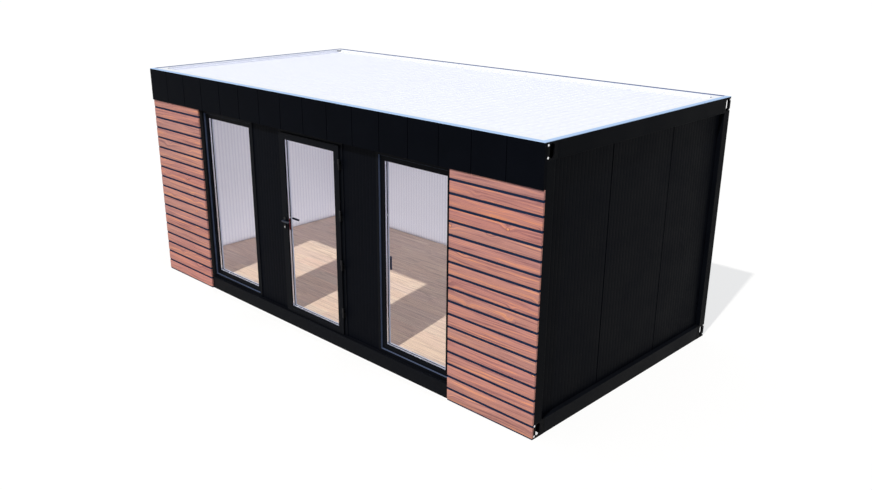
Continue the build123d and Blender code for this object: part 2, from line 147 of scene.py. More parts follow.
print("room:", [round(h - l, 3) for l, h in zip(room_low, room_high)])

# %% [markdown]
# ## Small helpers
# Each material is one Principled shader fed by nodes. Patterns read the object's own
# coordinates, which are real metres here, so a rib or a board keeps its true scale. Two
# effects are used again and again, so each is a group built once: the fine peel of a sprayed
# coat, and the grain of sawn wood.

# %% Node helpers
def new_material(name):
    """A material with its node tree and its Principled shader."""
    material = bpy.data.materials.new(name)
    material.use_nodes = True
    tree = material.node_tree
    return material, tree, tree.nodes["Principled BSDF"]


def feed(tree, node, inputs):
    """Give a node its inputs, where each is a value or another node's socket."""
    for key, value in inputs.items():
        if isinstance(value, bpy.types.NodeSocket):
            tree.links.new(value, node.inputs[key])
        else:
            node.inputs[key].default_value = value


def add_node(tree, kind, inputs=(), **settings):
    """A node with its settings and its inputs."""
    node = tree.nodes.new("ShaderNode" + kind)
    for key, value in settings.items():
        setattr(node, key, value)
    feed(tree, node, dict(inputs))
    return node


def calculate(tree, operation, first, second=0.0, third=0.0):
    """One Math node, which gives its result."""
    node = add_node(tree, "Math", {0: first, 1: second, 2: third}, operation=operation)
    return node.outputs[0]


def blend_colours(tree, amount, first, second):
    """A Mix node between two colours, whose sockets for them are the seventh and eighth."""
    return add_node(tree, "Mix", {0: amount, 6: first, 7: second}, data_type="RGBA").outputs[2]


def any_ray(tree, *kinds):
    """One for a ray of any of these kinds, and nothing for all other rays."""
    path = add_node(tree, "LightPath")
    found = path.outputs[kinds[0]]
    for kind in kinds[1:]:
        found = calculate(tree, "MAXIMUM", found, path.outputs[kind])
    return found


def ramp(tree, value, low, high, low_out=0.0, high_out=1.0):
    """A smooth step of a value from one range to another."""
    node = add_node(tree, "MapRange", {0: value, 1: low, 2: high, 3: low_out, 4: high_out},
                    interpolation_type="SMOOTHSTEP")
    return node.outputs[0]


def object_position(tree, scale=(1, 1, 1)):
    """The place on the object in metres, stretched by a scale."""
    place = add_node(tree, "TexCoord").outputs["Object"]
    if tuple(scale) == (1, 1, 1):
        return place
    return add_node(tree, "Mapping", {"Vector": place, "Scale": scale}).outputs[0]


def linear(red, green, blue):
    """A colour given as 0 to 255 on screen, as the linear light that a shader takes."""
    def one(value):
        value = value / 255
        return value / 12.92 if value < 0.04045 else ((value + 0.055) / 1.055) ** 2.4
    return one(red), one(green), one(blue), 1.0


def new_group(name, inputs, outputs):
    """An empty node group with named sockets, and its two end nodes."""
    group = bpy.data.node_groups.new(name, "ShaderNodeTree")
    for label, kind, value in inputs:
        socket = group.interface.new_socket(label, in_out="INPUT", socket_type="NodeSocket" + kind)
        if kind != "Vector":
            socket.default_value = value
    for label, kind in outputs:
        group.interface.new_socket(label, in_out="OUTPUT", socket_type="NodeSocket" + kind)
    return group, group.nodes.new("NodeGroupInput"), group.nodes.new("NodeGroupOutput")


def place_group(tree, group, **inputs):
    """A group placed in a material with its own values."""
    node = tree.nodes.new("ShaderNodeGroup")
    node.node_tree = group
    feed(tree, node, {key.replace("_", " "): value for key, value in inputs.items()})
    return node


# %% Group: sprayed coat
def make_coat_group():
    """Fine peel, slow cloudiness and a little settled dust near the ground."""
    group, start, end = new_group(
        "sprayed coat",
        [("Position", "Vector", None), ("Peel Size", "Float", 900.0), ("Cloud Size", "Float", 2.4),
         ("Dust Height", "Float", 0.25)],
        [("Peel", "Float"), ("Cloud", "Float"), ("Dust", "Float")])
    place = start.outputs["Position"]
    peel = add_node(group, "TexNoise", {"Vector": place, "Scale": start.outputs["Peel Size"],
                                        "Detail": 2.0})
    cloud = add_node(group, "TexNoise", {"Vector": place, "Scale": start.outputs["Cloud Size"],
                                         "Detail": 5.0, "Roughness": 0.6})
    height = add_node(group, "SeparateXYZ", {0: place}).outputs[2]
    low_down = ramp(group, height, 0.0, start.outputs["Dust Height"], 1.0, 0.0)
    specks = add_node(group, "TexNoise", {"Vector": place, "Scale": 38.0, "Detail": 6.0,
                                          "Roughness": 0.7})
    dust = calculate(group, "MULTIPLY", low_down, ramp(group, specks.outputs[0], 0.42, 0.72))
    feed(group, end, {"Peel": peel.outputs[0], "Cloud": cloud.outputs[0], "Dust": dust})
    return group


coat_group = make_coat_group()
print("group:", coat_group.name)


# %% Group: sawn wood
def make_wood_group():
    """Growth rings cut lengthwise, fibres, slow streaks and knots, with the grain along X."""
    group, start, end = new_group(
        "sawn wood",
        [("Position", "Vector", None), ("Board", "Float", 0.0), ("Ring Scale", "Float", 34.0),
         ("Knot Share", "Float", 0.3)],
        [("Rings", "Float"), ("Fibre", "Float"), ("Streak", "Float"), ("Knot", "Float")])
    board = start.outputs["Board"]
    luck = add_node(group, "TexWhiteNoise", {"W": board}, noise_dimensions="1D")
    part = add_node(group, "SeparateXYZ", {0: luck.outputs["Color"]})
    place = add_node(group, "SeparateXYZ", {0: start.outputs["Position"]})
    # a board is cut from its own place in the log, and a little out of line with it
    along = calculate(group, "MULTIPLY_ADD", part.outputs[0], 31.0, place.outputs[0])
    lean = calculate(group, "MULTIPLY_ADD", part.outputs[1], 0.05, -0.025)
    across = calculate(group, "MULTIPLY_ADD", place.outputs[0], lean, place.outputs[2])
    from_pith = calculate(group, "MULTIPLY_ADD", part.outputs[2], 0.26, -0.13)
    across = calculate(group, "ADD", across, from_pith)
    deep = calculate(group, "MULTIPLY_ADD", part.outputs[1], 0.05, place.outputs[1])
    spot = add_node(group, "CombineXYZ", {0: along, 1: deep, 2: across}).outputs[0]

    # knots lie in some of the cells that share out the board
    flat = add_node(group, "CombineXYZ", {0: calculate(group, "MULTIPLY", along, 4.2), 1: board,
                                          2: calculate(group, "MULTIPLY", place.outputs[2], 6.5)})
    cells = add_node(group, "TexVoronoi", {"Vector": flat.outputs[0], "Scale": 1.0})
    rare = add_node(group, "SeparateXYZ", {0: cells.outputs["Color"]}).outputs[0]
    chosen = calculate(group, "LESS_THAN", rare, start.outputs["Knot Share"])
    near = ramp(group, cells.outputs["Distance"], 0.05, 0.42, 1.0, 0.0)
    swell = calculate(group, "MULTIPLY", near, chosen)
    heart = ramp(group, cells.outputs["Distance"], 0.05, 0.11, 1.0, 0.0)
    knot = calculate(group, "MULTIPLY", heart, chosen)

    # the rings bend round a knot and wander slowly along the log
    slow = add_node(group, "Mapping", {"Vector": spot, "Scale": (1.1, 5.0, 5.0)}).outputs[0]
    wander = add_node(group, "TexNoise", {"Vector": slow, "Scale": 1.0, "Detail": 2.0}).outputs[0]
    push = calculate(group, "MULTIPLY_ADD", wander, 0.075,
                     calculate(group, "MULTIPLY", swell, 0.03))
    pushed = calculate(group, "ADD", across, push)
    squeezed = add_node(group, "CombineXYZ", {0: calculate(group, "MULTIPLY", along, 0.05),
                                              1: deep, 2: pushed})
    wave = add_node(group, "TexWave", {"Vector": squeezed.outputs[0],
                                       "Scale": start.outputs["Ring Scale"],
                                       "Distortion": 1.4, "Detail": 2.0, "Detail Scale": 0.6},
                    wave_type="RINGS", rings_direction="X", wave_profile="SAW")

    fine = add_node(group, "Mapping", {"Vector": spot, "Scale": (5.0, 420.0, 420.0)}).outputs[0]
    fibre = add_node(group, "TexNoise", {"Vector": fine, "Scale": 1.0, "Detail": 3.0}).outputs[0]
    bent = add_node(group, "CombineXYZ", {0: calculate(group, "MULTIPLY", along, 1.3),
                                          1: calculate(group, "MULTIPLY", deep, 60.0),
                                          2: calculate(group, "MULTIPLY", pushed, 60.0)})
    streak = add_node(group, "TexNoise", {"Vector": bent.outputs[0], "Scale": 1.0, "Detail": 5.0,
                                          "Roughness": 0.65}).outputs[0]
    feed(group, end, {"Rings": wave.outputs["Fac"], "Fibre": fibre, "Streak": streak,
                      "Knot": knot})
    return group


wood_group = make_wood_group()
print("group:", wood_group.name)


# %% [markdown]
# ## Coated steel
# The frame, castings, fascia and wall skins are all sprayed a near black with a breath of
# blue. Real coats differ a little: the hot-rolled frame is rougher and picks up dust near the
# ground, the factory-coated sheet is smoother. One function makes them all, from a colour,
# a roughness and how strong the peel is.

# %% Coated steel materials
dust_colour = linear(120, 112, 104)


def coated(name, colour, roughness, peel=0.02, cloud=0.2, dust=0.0, shine=0.3):
    """A sprayed coat: its colour clouds slightly, its gloss varies and fine peel dents it."""
    material, tree, shader = new_material(name)
    colour = linear(*colour)
    coat = place_group(tree, coat_group, Position=object_position(tree))
    lighter = tuple(min(1.0, c * (1 + cloud) + 0.001 * cloud) for c in colour[:3]) + (1.0,)
    tone = blend_colours(tree, ramp(tree, coat.outputs["Cloud"], 0.35, 0.7), colour, lighter)
    if dust:
        amount = calculate(tree, "MULTIPLY", coat.outputs["Dust"], dust)
        tone = blend_colours(tree, amount, tone, dust_colour)
    gloss = ramp(tree, coat.outputs["Cloud"], 0.3, 0.75, roughness - 0.05, roughness + 0.08)
    bump = add_node(tree, "Bump", {"Strength": peel, "Distance": 0.001,
                                   "Height": coat.outputs["Peel"]})
    feed(tree, shader, {"Base Color": tone, "Roughness": gloss, "Specular IOR Level": shine,
                        "Normal": bump.outputs[0]})
    return material


casting_paint = coated("casting paint", (11, 12, 15), 0.5, peel=0.25, dust=0.04, shine=0.05)
frame_paint = coated("frame paint", (11, 13, 18), 0.42, peel=0.12, dust=0.02, shine=0.045)
post_paint = coated("post paint", (7, 9, 14), 0.42, peel=0.12, shine=0.03)
fascia_coat = coated("fascia coat", (6, 8, 14), 0.4, peel=0.06, shine=0.02)
panel_coat = coated("panel coat", (8, 10, 16), 0.45, peel=0.06, shine=0.03)
lining_coat = coated("lining coat", (240, 238, 243), 0.5, peel=0.04, cloud=0.01)
# painted shade: a greyer white for the sloped faces of the inner grooves
lining_groove_painted_shade = coated("lining groove painted shade", (229, 227, 235), 0.5, peel=0.04, cloud=0.01)
sash_lining = coated("sash lining", (190, 191, 208), 0.5, peel=0.0, cloud=0.01)
ceiling_coat = coated("ceiling coat", (238, 238, 240), 0.5, peel=0.04, cloud=0.01)
roof_coat = coated("roof coat", (240, 243, 255), 0.6, peel=0.0, cloud=0.0, shine=0.04)
profile_coat = coated("profile coat", (9, 11, 16), 0.38, peel=0.05, shine=0.05)
# painted reflection: a grey-blue that stands for the sky mirrored in the black frames' returns
return_painted_reflection = coated("return painted reflection", (76, 87, 112), 0.35, peel=0.0, shine=0.2)
# dark navy that is painted shade: it stands for the shaded gap between the cladding boards
gap_painted_shade = coated("gap painted shade", (28, 40, 64), 0.7, peel=0.1, shine=0.03)
zinc_coat = coated("zinc coat", (176, 178, 182), 0.45, peel=0.2, cloud=0.3, shine=0.5)
handle_coat = coated("handle coat", (12, 12, 15), 0.32, peel=0.0, shine=0.3)
# painted reflection: the levers are black, and their blue-grey stands for the sky mirrored on them
lever_painted_reflection = coated("lever painted reflection", (44, 56, 82), 0.32, peel=0.0, shine=0.4)
door_lever_painted_reflection = coated("door lever painted reflection", (20, 27, 44), 0.3, peel=0.0, shine=0.5)
print("coats made:", len(bpy.data.materials))


# %% Trim material, with painted shade along its edges
near_painted_shade_width = 0.055
far_painted_shade_width = 0.062
far_painted_shade_corner = 0.060
band_blur = 0.002
trim_white = linear(246, 249, 255)
# blue bands of painted shade along the roof's outer edges: pale at the front and right, deeper at the
# back and left
near_painted_shade_blue = linear(180, 209, 248)
far_painted_shade_blue = linear(66, 90, 148)


def make_trim_painted_shade_coat():
    """The roof's white coat, with painted shade round its outer edge: a pale blue band of
    painted sky-lit shade along the front and the right end, and a deeper blue band of painted
    shade along the back and the left end, but for the last bit next to the corners."""
    material, tree, shader = new_material("trim painted shade coat")
    place = add_node(tree, "SeparateXYZ", {0: object_position(tree)})
    x, y = place.outputs[0], place.outputs[1]
    near = calculate(tree, "MINIMUM", calculate(tree, "SUBTRACT", cad_high[0], x),
                     calculate(tree, "SUBTRACT", y, cad_low[1]))
    far = calculate(tree, "MINIMUM", calculate(tree, "SUBTRACT", x, cad_low[0]),
                    calculate(tree, "SUBTRACT", cad_high[1], y))
    band = ramp(tree, near, near_painted_shade_width - band_blur, near_painted_shade_width + band_blur, 1.0, 0.0)
    tone = blend_colours(tree, band, trim_white, near_painted_shade_blue)
    band = ramp(tree, far, far_painted_shade_width - band_blur, far_painted_shade_width + band_blur, 1.0, 0.0)
    clear = calculate(tree, "GREATER_THAN", near, far_painted_shade_corner)
    tone = blend_colours(tree, calculate(tree, "MULTIPLY", band, clear), tone, far_painted_shade_blue)
    feed(tree, shader, {"Base Color": tone, "Roughness": 0.45, "Specular IOR Level": 0.2})
    return material


trim_painted_shade_coat = make_trim_painted_shade_coat()
print("trim:", trim_painted_shade_coat.name)


# %% Bright metal, rubber and plastic materials
def darker(colour, share):
    """A share of a colour's light."""
    return tuple(c * share for c in colour[:3]) + (1.0,)


def metal(name, colour, roughness):
    """Bare metal with fine scratches in its gloss."""
    material, tree, shader = new_material(name)
    colour = linear(*colour)
    scratches = add_node(tree, "TexNoise", {"Vector": object_position(tree, (40, 40, 900)),
                                            "Scale": 1.0, "Detail": 3.0})
    tone = blend_colours(tree, scratches.outputs[0], colour, darker(colour, 0.85))
    gloss = ramp(tree, scratches.outputs[0], 0.3, 0.7, roughness - 0.06, roughness + 0.08)
    feed(tree, shader, {"Metallic": 1.0, "Base Color": tone, "Roughness": gloss})
    return material


def moulded(name, colour, roughness):
    """Rubber or plastic: one colour with a fine mottle and a soft bump."""
    material, tree, shader = new_material(name)
    colour = linear(*colour)
    mottle = add_node(tree, "TexNoise", {"Vector": object_position(tree), "Scale": 160.0,
                                         "Detail": 4.0})
    tone = blend_colours(tree, mottle.outputs[0], darker(colour, 0.8), colour)
    gloss = ramp(tree, mottle.outputs[0], 0.3, 0.7, roughness - 0.05, roughness + 0.05)
    bump = add_node(tree, "Bump", {"Strength": 0.1, "Distance": 0.0005,
                                   "Height": mottle.outputs[0]})
    feed(tree, shader, {"Base Color": tone, "Roughness": gloss, "Specular IOR Level": 0.15,
                        "Normal": bump.outputs[0]})
    return material


spacer_metal = metal("spacer metal", (240, 244, 255), 0.3)
cylinder_metal = metal("cylinder metal", (248, 248, 250), 0.45)
seal_rubber = moulded("seal rubber", (10, 11, 15), 0.7)
plug_painted_glow_plastic = moulded("plug painted glow plastic", (252, 252, 252), 0.4)
# painted glow: the plugs give off a faint white light of their own, so they stay white in shade
feed(plug_painted_glow_plastic.node_tree, plug_painted_glow_plastic.node_tree.nodes["Principled BSDF"],
     {"Emission Color": (1, 1, 1, 1), "Emission Strength": 0.25})
lock_plastic = moulded("lock plastic", (96, 10, 24), 0.4)
print("materials:", len(bpy.data.materials))

# %% [markdown]
# ## Glass
# Each window is two clear sheets. The shader bends and mirrors light as glass does. It lets
# the rays from lamps straight through, so that the sun reaches the floor without noise, and
# the eye's own rays too, because such thin sheets don't shift what is behind them.


# %% Glass material
def make_glass():
    """Clear glass: straight through for the eye and for light from lamps."""
    material, tree, shader = new_material("clear glass")
    film = add_node(tree, "TexNoise", {"Vector": object_position(tree), "Scale": 3.0,
                                       "Detail": 3.0})
    tint = blend_colours(tree, film.outputs[0], (0.90, 0.93, 0.95, 1.0), (0.95, 0.97, 0.98, 1.0))
    feed(tree, shader, {"Base Color": tint, "Roughness": 0.0, "IOR": 1.25,
                        "Transmission Weight": 1.0})
    clear = add_node(tree, "BsdfTransparent", {"Color": (0.98, 0.99, 0.99, 1.0)})
    straight = any_ray(tree, "Is Shadow Ray", "Is Diffuse Ray", "Is Camera Ray")
    mixed = add_node(tree, "MixShader", {0: straight, 1: shader.outputs[0], 2: clear.outputs[0]})
    tree.links.new(mixed.outputs[0], tree.nodes["Material Output"].inputs["Surface"])
    return material


clear_glass = make_glass()
print("glass:", clear_glass.name)

# %% [markdown]
# ## Wood
# The front's ends are clad in oiled softwood, each board a little redder, paler or browner
# than the next. The floor is a pale laminate that copies oak. Both use the same grain, with
# the board's own number as the seed, which each board carries as an attribute.


# %% Wood materials
def wood(name, colours, ring_scale, knots, roughness, ring_depth, relief, spread):
    """Boards of one kind of wood. The number of each board picks its tone and its grain. The
    colours are those of the wood itself, its dark and light streaks and its knots' rims."""
    material, tree, shader = new_material(name)
    base, dark_streak, light_streak, knot_rim = (linear(*colour) for colour in colours)
    board = add_node(tree, "Attribute", attribute_name="board").outputs["Fac"]
    grain = place_group(tree, wood_group, Position=object_position(tree), Board=board,
                        Ring_Scale=ring_scale, Knot_Share=knots)
    streak = grain.outputs["Streak"]
    # wood with a streak value near 0.5 is plain, lower is dark and higher is light
    tone = blend_colours(tree, ramp(tree, streak, 0.50, 0.36), base, dark_streak)
    tone = blend_colours(tree, ramp(tree, streak, 0.52, 0.66), tone, light_streak)
    rings = calculate(tree, "POWER", grain.outputs["Rings"], 2.0)
    fibre = ramp(tree, grain.outputs["Fibre"], 0.3, 0.7)
    fine = calculate(tree, "MULTIPLY_ADD", fibre, 0.3, calculate(tree, "MULTIPLY", rings, 0.7))
    lines = calculate(tree, "MULTIPLY_ADD", fine, -ring_depth, 1.0 + ring_depth * 0.4)
    luck = add_node(tree, "TexWhiteNoise", {"W": calculate(tree, "ADD", board, 0.37)},
                    noise_dimensions="1D")
    second = add_node(tree, "SeparateXYZ", {0: luck.outputs["Color"]}).outputs[1]
    shade = add_node(tree, "HueSaturation", {
        "Hue": calculate(tree, "MULTIPLY_ADD", luck.outputs["Value"], 0.02 * spread,
                         0.5 - 0.01 * spread),
        "Saturation": calculate(tree, "MULTIPLY_ADD", second, 0.3 * spread, 1 - 0.15 * spread),
        "Value": calculate(tree, "MULTIPLY", lines,
                           calculate(tree, "MULTIPLY_ADD", second, 0.2 * spread,
                                     1 - 0.1 * spread)),
        "Color": tone})
    knot = grain.outputs["Knot"]
    tone = blend_colours(tree, ramp(tree, knot, 0.0, 0.5), shade.outputs[0], knot_rim)
    tone = blend_colours(tree, ramp(tree, knot, 0.5, 0.9), tone, light_streak)
    gloss = ramp(tree, fine, 0.0, 1.0, roughness, roughness + 0.15)
    bump = add_node(tree, "Bump", {"Strength": relief, "Distance": 0.0006, "Height": fine},
                    invert=True)
    feed(tree, shader, {"Base Color": tone, "Roughness": gloss, "Specular IOR Level": 0.3,
                        "Normal": bump.outputs[0]})
    return material


cladding_wood = wood(
    "cladding wood", ((184, 129, 120), (144, 97, 96), (220, 149, 115), (112, 60, 50)),
    ring_scale=30.0, knots=0.3, roughness=0.5, ring_depth=0.3, relief=0.4, spread=0.4)
floor_wood = wood(
    "floor laminate", ((229, 198, 178), (192, 163, 148), (246, 222, 198), (150, 120, 100)),
    ring_scale=16.0, knots=0.04, roughness=0.35, ring_depth=0.2, relief=0.08, spread=0.5)
batten_wood = wood(
    "batten wood", ((36, 34, 35), (28, 27, 28), (44, 42, 42), (18, 18, 18)),
    ring_scale=26.0, knots=0.1, roughness=0.7, ring_depth=0.3, relief=0.4, spread=0.3)
print("materials:", len(bpy.data.materials))

# %% Finishes of the fixed model's parts
finishes = (
    (casting_paint, "base_casting roof_casting"),
    (frame_paint, "base_rails"),
    (post_paint, "roof_rails corner_posts"),
    (zinc_coat, "floor_joists floor_tray"),
    (floor_wood, "floor_deck"),
    (panel_coat, "left_wall right_wall back_wall front_end_panels front_piers front_headers"),
    (ceiling_coat, "ceiling"),
    (roof_coat, "roof_sheet"),
    (trim_painted_shade_coat, "roof_trim"),
    (fascia_coat, "fascia"),
    (cladding_wood, "cladding_left cladding_right"),
    (batten_wood, "cladding_battens"),
    (profile_coat, "window_frame window_sash door_frame door_leaf"),
    (clear_glass, "window_glass door_glass"),
    (spacer_metal, "window_spacers door_spacer"),
    (handle_coat, "window_handle handle_roses hinge_"),
    (door_lever_painted_reflection, "door_levers"),
    (cylinder_metal, "lock_cylinder"),
)
for name, part in nodes.items():
    material = next(m for m, starts in finishes if name.startswith(tuple(starts.split())))
    for material_slot in part.material_slots:
        material_slot.material = material
print("finished parts:", len(nodes))

# %% [markdown]
# ## Modelling by hand
# New pieces start as a cube or a cylinder and are shaped in edit mode. An operator works on
# all that is selected, so everything is dropped first and the wanted faces or edges are then
# chosen by where they lie. A piece's own place is kept in its mesh, and its object stays at
# the origin like the fixed parts.

# %% Modelling helpers
hair = 1e-4  # metres: less than any real step, for telling places apart


def only(piece):
    """Make one object the only one selected."""
    bpy.ops.object.select_all(action="DESELECT")
    piece.select_set(True)
    bpy.context.view_layer.objects.active = piece


def block(name, low, high):
    """A cube stretched between two corners."""
    bpy.ops.object.select_all(action="DESELECT")
    bpy.ops.mesh.primitive_cube_add(size=1)
    piece = bpy.context.object
    piece.name = name
    bpy.ops.object.mode_set(mode="EDIT")
    bpy.ops.transform.resize(value=[h - l for l, h in zip(low, high)])
    bpy.ops.transform.translate(value=[(l + h) / 2 for l, h in zip(low, high)])
    done()
    return piece


def pick(piece, kind, wanted):
    """Enter edit mode with only the faces or edges selected that the test accepts."""
    only(piece)
    bpy.ops.object.mode_set(mode="EDIT")
    bpy.ops.mesh.select_mode(type=kind)
    bpy.ops.mesh.select_all(action="DESELECT")
    done()
    mesh = piece.data
    if kind == "FACE":
        for face in mesh.polygons:
            face.select = wanted(face.center, face.normal)
    else:
        for edge in mesh.edges:
            first, second = (mesh.vertices[i].co for i in edge.vertices)
            edge.select = wanted((first + second) / 2, (second - first).normalized())
    bpy.ops.object.mode_set(mode="EDIT")


def done():
    """Leave edit mode."""
    bpy.ops.object.mode_set(mode="OBJECT")


def bevel(piece, width, segments, wanted):
    """Bevel the edges that the test accepts."""
    pick(piece, "EDGE", wanted)
    bpy.ops.mesh.bevel(offset=width, segments=segments)
    done()


def paint(piece, index, wanted):
    """Give the faces that the test accepts one of the piece's own materials."""
    pick(piece, "FACE", wanted)
    piece.active_material_index = index
    bpy.ops.object.material_slot_assign()
    done()


def smooth(piece, degrees):
    """Shade a piece smooth wherever it turns by less than so many degrees."""
    only(piece)
    bpy.ops.object.shade_smooth_by_angle(angle=math.radians(degrees))


def cylinder(vertices, radius, depth, place, turn):
    """A cylinder round a place, turned from upright."""
    bpy.ops.object.select_all(action="DESELECT")
    bpy.ops.mesh.primitive_cylinder_add(vertices=vertices, radius=radius, depth=depth,
                                        location=place, rotation=turn)
    return bpy.context.object


def apply_place(piece):
    """Keep a piece's place in its mesh, with its object back at the origin."""
    only(piece)
    bpy.ops.object.transform_apply(location=True, rotation=True, scale=True)


def joined(pieces, name):
    """Several pieces as one object."""
    bpy.ops.object.select_all(action="DESELECT")
    for piece in pieces:
        piece.select_set(True)
    bpy.context.view_layer.objects.active = pieces[0]
    bpy.ops.object.join()
    pieces[0].name = name
    return pieces[0]


def number(piece, value):
    """Give a board its number, which its grain and tone follow."""
    attribute = piece.data.attributes.new("board", "FLOAT", "POINT")
    attribute.data.foreach_set("value", [value] * len(piece.data.vertices))


def rounded_edges(piece, width, segments=1):
    """Round every edge of a piece and shade it smooth where it turns gently."""
    only(piece)
    bpy.ops.object.mode_set(mode="EDIT")
    bpy.ops.mesh.select_all(action="SELECT")
    bpy.ops.mesh.bevel(offset=width, segments=segments)
    done()
    smooth(piece, 35)


def finish(piece, material, body, slot, *replaced):
    """Give a piece its material and its body, and say what it stands for. A piece that is
    given no material keeps its own."""
    if material:
        piece.data.materials.clear()
        piece.data.materials.append(material)
    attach(piece, body)
    if replaced:
        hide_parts(*replaced)
    print(piece.name, "faces:", len(piece.data.polygons))


# %% [markdown]
# ## Slatted cladding
# At each end of the front, eighteen level boards cover a panel from the ground to the fascia.
# Such a board is milled with a thin tongue along its lower edge, which sits a little behind
# its face. The tongue and the short faces next to it are coloured a dark navy as painted shade
# of the gap, so that the boards show a crisp dark line and no open gap. The top board is cut
# to fit under the fascia. Each board has a number of its own for its grain.

# %% Slatted cladding
board_count = 18
board_pitch = 0.12525
first_joint = 0.00375
tongue_height = 0.0235
tongue_back = 0.005
board_edge = 0.0015
left_seed = 50
seed_step = 3.1


def slat(low, high, tongue):
    """A board from low to high with a thin tongue below it, in wood and in painted shade."""
    face_y, tongue_y = low.y, low.y + tongue_back
    board = block("board", low, high)
    pick(board, "FACE", lambda centre, normal: True)
    bpy.ops.mesh.bisect(plane_co=(0, tongue_y, 0), plane_no=(0, 1, 0))
    done()
    pick(board, "FACE", lambda centre, normal: normal.z < -0.9 and centre.y > tongue_y)
    bpy.ops.mesh.extrude_region_move(TRANSFORM_OT_translate={"value": (0, 0, -tongue)})
    done()
    bevel(board, board_edge, 2, lambda centre, along: centre.y < face_y + hair)
    board.data.materials.append(cladding_wood)
    board.data.materials.append(gap_painted_shade)
    # painted shade: the tongue and the faces of the recess take the dark navy of a shaded gap
    paint(board, 1, lambda centre, normal: centre.z < low.z - hair
          or (abs(normal.z) > 0.9 and face_y + board_edge - hair < centre.y < tongue_y))
    smooth(board, 35)
    return board


for side in ("left", "right"):
    low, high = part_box("cladding_" + side)
    boards = []
    for i in range(board_count):
        joint_z = low.z + first_joint + i * board_pitch
        bottom = joint_z + tongue_height / 2
        top = min(high.z, joint_z + board_pitch - tongue_height / 2)
        tongue = bottom - max(low.z, joint_z - tongue_height / 2)
        board = slat(Vector((low.x, low.y, bottom)), Vector((high.x, high.y, top)), tongue)
        number(board, i * seed_step + (left_seed if side == "left" else 0))
        boards.append(board)
    boards = joined(boards, "cladding_boards_" + side)
    finish(boards, None, "building", "timber", "cladding_" + side)

# %% [markdown]
# ## Wall panels
# The walls are sandwich panels: a dark skin outside, a pale one inside and foam between them.
# Both skins are rolled with fine upright grooves that stiffen them, about every 50 mm. The
# grooves are real geometry: a block is cut into narrow strips, and every few strips the edges
# are pushed in by about a millimetre. Panels are a metre wide, and those at the ends of a
# wall are cut to fit.

# %% Wall panels
panel_width = 1.000
strip = 0.010
outer_step = 5
inner_step = 5
groove_depth = 0.0009
outer_end_step = 0.020
joint = 0.012


def paint_inner(piece, outward):
    """Dark outside, pale inside, with painted shade that makes the inner grooves a little greyer."""
    for material in (panel_coat, lining_coat, lining_groove_painted_shade):
        piece.data.materials.append(material)
    for index, most in ((1, 2.0), (2, 0.9999)):
        paint(piece, index, lambda centre, normal: 0.5 < -normal.dot(outward) < most)


def axes(outward):
    """The numbers of the axes that run along a wall and through it."""
    return (1, 0) if abs(outward.x) > 0.5 else (0, 1)


def wall_panel(low, high, outward):
    """A panel with grooves in both skins. Outward is the direction its dark skin faces."""
    across, facing = axes(outward)
    panel = block("panel", low, high)
    count = max(2, round((high[across] - low[across]) / strip))
    pick(panel, "EDGE", lambda centre, along: abs(along[across]) > 0.9)
    bpy.ops.mesh.subdivide(number_cuts=count - 1)
    done()
    start, width = low[across], high[across] - low[across]
    cell = width / count

    def in_groove(centre, step):
        index = round((centre[across] - start) / cell)
        return index % step == step // 2 and 0 < index < count

    for sense, step in ((1, outer_step), (-1, inner_step)):
        face_at = (high if outward[facing] * sense > 0 else low)[facing]
        pick(panel, "EDGE", lambda centre, along: abs(along.z) > 0.9
             and abs(centre[facing] - face_at) < hair and in_groove(centre, step))
        bpy.ops.transform.translate(value=outward * (-sense * groove_depth))
        done()
    paint_inner(panel, outward)
    return panel


def panel_row(node, count, outward):
    """A row of panels that fills the box of a wall, with a thin joint between each two."""
    low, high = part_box(node)
    across, facing = axes(outward)
    middle = (low[across] + high[across]) / 2
    edges = [middle + (i - count / 2) * panel_width for i in range(count + 1)]
    edges[0], edges[-1] = low[across], high[across]
    panels = []
    for i in range(count):
        a, b = Vector(low), Vector(high)
        a[across] = edges[i] + (joint / 2 if i > 0 else 0)
        b[across] = edges[i + 1] - (joint / 2 if i < count - 1 else 0)
        panels.append(wall_panel(a, b, outward))
    # a tongue closes each joint: dark and set back outside, pale and flush inside
    for i in range(1, count):
        a, b = Vector(low), Vector(high)
        a[across] = edges[i] - joint / 2
        b[across] = edges[i] + joint / 2
        outer = b if outward[facing] > 0 else a
        outer[facing] -= outward[facing] * outer_end_step
        tongue = block("tongue", a, b)
        paint_inner(tongue, outward)
        panels.append(tongue)
    return panels


for side, count, outward in (("right", 3, (1, 0, 0)), ("left", 3, (-1, 0, 0)),
                             ("back", 6, (0, 1, 0))):
    wall = side + "_wall"
    row = joined(panel_row(wall, count, Vector(outward)), wall + "_panels")
    finish(row, None, "building", "wall_panel", wall)

# %% Front panels beside the openings
panel_low, panel_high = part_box("front_end_panels")
left, door, right = ((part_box(name)[0].x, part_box(name)[1].x)
                     for name in ("window_frame_left", "door_frame", "window_frame_right"))
spans = {
    "front_piers": ((left[1], door[0]), (door[1], right[0])),
    "front_end_panels": ((panel_low.x, left[0]), (right[1], panel_high.x)),
    "front_headers": (left, door, right),
}
for node, ranges in spans.items():
    low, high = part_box(node)
    pieces = [wall_panel(Vector((a, low.y, low.z)), Vector((b, high.y, high.z)),
                         Vector((0, -1, 0))) for a, b in ranges]
    finish(joined(pieces, node + "_skins"), None, "building", "wall_panel", node)

# %% [markdown]
# ## Floor
# The deck is covered with laminate boards that run along the front, in rows that start at
# different places so that the short joints don't line up. Each board has a fine bevel, which
# draws the thin line between boards. The rows are laid wall to wall over a plain deck.

